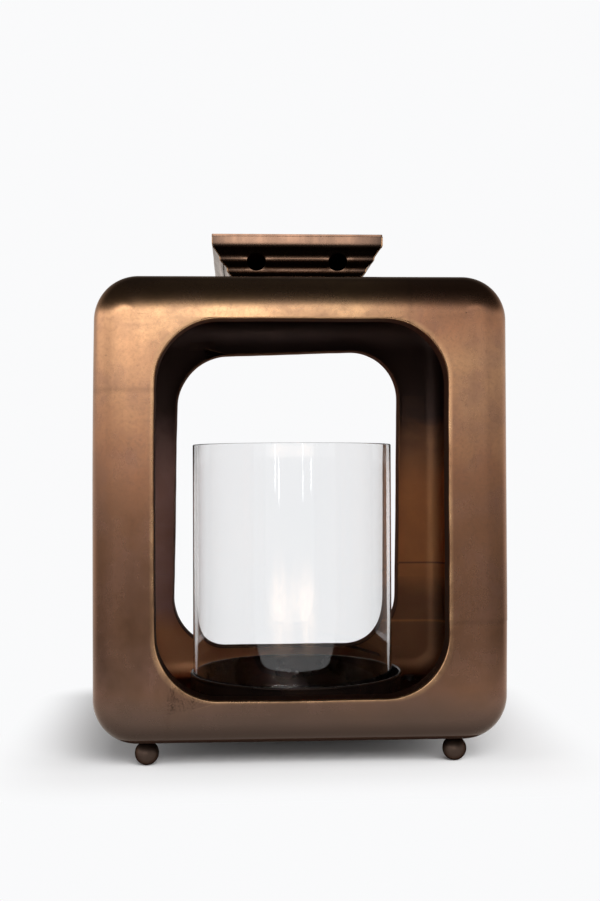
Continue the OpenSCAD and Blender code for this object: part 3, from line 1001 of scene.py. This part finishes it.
def make_floor():
    """Pale floor that goes over into the background's colour away from the lantern."""
    n = Finish("pale_floor")
    place = n.place()
    grain = n.noise(place, 3.0, 2, 0.5)
    n.set(Base_Color=n.ramp(grain, [(0.3, rgb(0.885, 0.885, 0.89)), (0.7, rgb(0.9, 0.9, 0.905))]),
          Roughness=0.9, Specular_IOR_Level=0.1)
    away = n.vectors("ABSOLUTE", place)["Vector"]
    away = n.vectors("SUBTRACT", away, (HALF_W, HALF_D, 0))["Vector"]
    away = n.vectors("LENGTH", n.vectors("MAXIMUM", away)["Vector"])["Value"]
    fade = n.level(away, 0.0, SHADOW_REACH, kind="SMOOTHSTEP")
    plain = n.add("Emission", {"Color": WHITE}).outputs["Emission"]
    n.put(n.tree.nodes["Material Output"].inputs["Surface"],
          n.shaders(fade, n.shader.outputs["BSDF"], plain))
    rim = [(FLOOR_R * math.cos(t), FLOOR_R * math.sin(t), 0.0)
           for t in np.linspace(0, 2 * math.pi, FLOOR_SIDES, endpoint=False)]
    new_mesh("floor", rim, [tuple(range(len(rim)))], n.material)


# The room that the metal reflects: its level at each elevation in degrees, in front of the
# lantern and behind it. Smooth glass sees a calmer room.
ROOM_TOP = 4.2
SIDE_TOP = 1.3
ROOM_FRONT = [(-90, 0.08), (-20, 0.09), (-13, 0.14), (-7, 0.19), (-3, 0.3), (0, 0.47), (3, 0.62),
              (6, 0.72), (15, 0.7), (19, 0.4), (23, 0.14), (31, 0.05), (50, 0.03), (90, 0.08)]
LEFT_FRONT = [(-90, 0.0), (-1, 0.0), (2, 0.38), (5, 0.95), (9, 1.2), (15, 1.0), (19, 0.5), (23, 0.1),
              (31, 0.0), (90, 0.0)]
WINDOW_FRONT = [(-90, 0.0), (5, 0.0), (8.5, 2.3), (14, 2.6), (18, 0.9), (22, 0.0), (90, 0.0)]
ROOM_BACK = [(-90, 0.4), (-8, 0.7), (0, 0.9), (9, 0.8), (22, 0.3), (38, 0.22), (56, 0.16),
             (70, 0.07), (90, 0.08)]
GLASS_ROOM = [(-90, 0.95), (-8.3, 0.9), (-7.8, 0.3), (0, 0.25), (90, 0.2)]
# Shares of the two lights in front at each X of the direction
LEFT_SIDE = [(-0.98, 1.1), (-0.5, 1.05), (-0.1, 1.0), (0.06, 1.0), (0.11, 0.65), (0.16, 0.34),
             (0.24, 0.3), (0.98, 0.3)]
WINDOW_SIDE = [(-0.98, 0.15), (-0.5, 0.25), (-0.12, 0.8), (-0.03, 1.0), (0.05, 1.0), (0.09, 0.5),
               (0.13, 0.06), (0.2, 0.0)]
BEHIND = (0.05, 0.7)  # Y of the direction from the front's levels to the back's
DOME = 0.18  # what the floor and other dull surfaces get


def grey(level):
    return rgb(level, level, level)


def levels(n, value, stops, low, high, top):
    """Level at a value that runs from low to high, as a share of top."""
    return n.ramp(n.level(value, low, high),
                  [((at - low) / (high - low), grey(level / top)) for at, level in stops])


def make_world():
    """White to the camera and through the glass, and a room to everything else."""
    world = bpy.data.worlds.new("studio")
    bpy.context.scene.world = world
    world.use_nodes = True
    n = Nodes(world.node_tree)
    n.tree.nodes.clear()

    def background(colour, strength=1.0):
        return n.add("Background", {"Color": colour, "Strength": strength}).outputs[0]

    way = n.axes(n.add("TexCoord").outputs["Generated"])
    degrees = n.times(n.math("ARCSINE", way["Z"]), 180 / math.pi)
    front = levels(n, degrees, ROOM_FRONT, -90, 90, ROOM_TOP)
    for rises, sides in ((LEFT_FRONT, LEFT_SIDE), (WINDOW_FRONT, WINDOW_SIDE)):
        part = n.mix(1.0, levels(n, degrees, rises, -90, 90, ROOM_TOP),
                     levels(n, way["X"], sides, -1, 1, SIDE_TOP), "MULTIPLY")
        front = n.mix(1.0, front, n.mix(1.0, part, grey(SIDE_TOP), "MULTIPLY"), "ADD")
    behind = n.level(way["Y"], *BEHIND, kind="SMOOTHSTEP")
    room = n.mix(behind, front, levels(n, degrees, ROOM_BACK, -90, 90, ROOM_TOP))
    calm = levels(n, degrees, GLASS_ROOM, -90, 90, 1.0)
    path = n.add("LightPath").outputs
    mirrored = n.math("GREATER_THAN", path["Glossy Depth"], 0.5)
    straight = n.minus(path["Is Transmission Ray"], mirrored, clamp=True)
    seen = n.larger(path["Is Camera Ray"], straight)
    clear = n.larger(path["Is Singular Ray"], path["Is Transmission Ray"])
    metal = n.shaders(clear, background(room, ROOM_TOP), background(calm))
    lit = n.shaders(path["Is Diffuse Ray"], metal, background(grey(DOME)))
    n.add("OutputWorld", {"Surface": n.shaders(seen, lit, background(WHITE))})


def area_light(name, at, target, size, radiance, colour=(1, 1, 1), glossy=True, diffuse=True):
    """An area light of a given radiance, which the camera doesn't see."""
    data = bpy.data.lights.new(name, "AREA")
    data.shape = "RECTANGLE"
    data.size, data.size_y = size
    data.energy = radiance * math.pi * size[0] * size[1]
    data.color = colour
    obj = new_object(name, data)
    obj.location = at
    obj.rotation_mode = "QUATERNION"
    obj.rotation_quaternion = (Vector(target) - Vector(at)).to_track_quat("-Z", "Y")
    obj.visible_camera = False
    obj.visible_glossy = glossy
    obj.visible_diffuse = diffuse
    return obj


# Fills for the floor: name, place, size, radiance
FILLS = [
    ("front_fill", (0.5, -2.1, 1.45), (1.9, 1.3), 8.3),
    ("right_fill", (2.3, -0.9, 1.1), (1.4, 1.2), 4.4),
    ("left_fill", (-2.2, -1.0, 1.3), (1.4, 1.2), 2.4),
]
WARM = (1.0, 0.66, 0.42)
# How lights fade: with which power, and the share that flickers
STRIP_FADE = (0.5, 0.0)
FLAME_FADE = (1.3, 0.6)
RIM_FADE = (0.25, 0.15)
# What the glass shows of the room in front: name, azimuth, elevation, size, radiance, colour, fade
GLASS_MIRRORS = [
    ("strip_left", -17.5, 5.2, (0.04, 0.26), 26.0, (1, 1, 1), STRIP_FADE),
    ("strip_right", 19.5, 5.4, (0.045, 0.22), 24.0, (1, 1, 1), STRIP_FADE),
    ("flame_left", -15.0, -7.2, (1.5, 0.25), 2.6, WARM, FLAME_FADE),
    ("flame_right", 15.0, -6.8, (0.9, 0.27), 3.0, WARM, FLAME_FADE),
]
MIRROR_AWAY = 1.6
GLASS_X, GLASS_R = -0.001, 0.0805
GLASS_FACE = (GLASS_X, -0.0815, 0.11)
# The sides of the room that show near the glass's outline: azimuth from +Y, width, radiance
GLASS_RIMS = [("rim_left", -37.0, 0.05, 2.1), ("rim_right", 48.0, 0.06, 2.5)]
RIM_AWAY, RIM_Z, RIM_TALL = 0.085, 0.158, 0.26


def soften(light, power, ripple):
    """Fades an area light towards its edges, with a flicker of noise in it, and lets it show in
    reflections only."""
    light.data.use_nodes = True
    n = Nodes(light.data.node_tree)
    spot = n.add("NewGeometry").outputs["Parametric"]
    away = n.vectors("LENGTH", n.vectors("SUBTRACT", spot, (0.5, 0.5, 0.0))["Vector"])["Value"]
    soft = n.math("POWER", n.level(away, 0.5, 0.0, kind="SMOOTHSTEP"), power)
    wave = n.level(n.noise(spot, 5.0, 2, 0.5), 0.35, 0.65, 1.0 - ripple, 1.0)
    depth = n.add("LightPath").outputs["Glossy Depth"]
    mirrored = n.math("GREATER_THAN", depth, 0.5)
    n.put(n.tree.nodes["Emission"].inputs["Strength"], n.times(n.times(soft, wave), mirrored))


def toward(azimuth, elevation, distance, start):
    """A point seen from start at an azimuth (from -Y towards +X) and an elevation, in degrees."""
    a, e = math.radians(azimuth), math.radians(elevation)
    return Vector(start) + distance * Vector((math.sin(a) * math.cos(e), -math.cos(a) * math.cos(e),
                                              math.sin(e)))


def make_lights(glass):
    """Fills for the floor, and what the glass mirrors of the room."""
    for name, at, size, radiance in FILLS:
        area_light(name, at, (0, 0, 0), size, radiance, glossy=False)
    clear = bpy.data.collections.new("clear")
    clear.objects.link(glass)
    for name, azimuth, elevation, size, radiance, colour, fade in GLASS_MIRRORS:
        at = toward(azimuth, elevation, MIRROR_AWAY, GLASS_FACE)
        light = area_light(name, at, GLASS_FACE, size, radiance, colour, diffuse=False)
        light.light_linking.receiver_collection = clear
        soften(light, *fade)
    for name, azimuth, width, radiance in GLASS_RIMS:
        side = math.copysign(GLASS_R, azimuth) + GLASS_X
        turn = math.radians(azimuth)
        at = (side + RIM_AWAY * math.sin(turn), RIM_AWAY * math.cos(turn), RIM_Z)
        light = area_light(name, at, (side, 0, RIM_Z), (width, RIM_TALL), radiance, diffuse=False)
        light.visible_transmission = False
        light.light_linking.receiver_collection = clear
        soften(light, *RIM_FADE)


# ---- Build ----

make_camera()
FINISHES = {
    "body_bronze": bronze("body_bronze", brush=(90, 60, 6), belly=True),
    "cap_bronze": bronze("cap_bronze", dark=0.42, brush=(6, 60, 160), rough=0.26, dull=0.5, under=True),
    "strap_bronze": bronze("strap_bronze", rough=0.5, inner=True),
    "foot_bronze": bronze("foot_bronze", dark=0.3, rough=0.42, dull=0.5, rim=0.85),
    "plain_steel": steel("plain_steel"),
    "pan_black": pan_finish("pan_black"),
    "clear_glass": glass_finish("clear_glass"),
}

make_body(FINISHES["body_bronze"])
make_cap(FINISHES["cap_bronze"], bronze("cap_braze", dark=-0.35, rough=0.28))
make_pan(FINISHES["pan_black"])
glass_piece = make_glass(FINISHES["clear_glass"])

slots = {row["node"]: row["material_slot"] for row in frame["record"]["subparts"]}
for node_name, node_object in frame["nodes"].items():
    node_object.data.materials.clear()
    node_object.data.materials.append(FINISHES[slots[node_name]])

make_floor()
make_world()
make_lights(glass_piece)

scene = bpy.context.scene
scene.view_settings.view_transform = "Standard"
scene.cycles.use_denoising = True
scene.cycles.max_bounces = 16
scene.cycles.glossy_bounces = 8
scene.cycles.transmission_bounces = 12
scene.cycles.transparent_max_bounces = 12
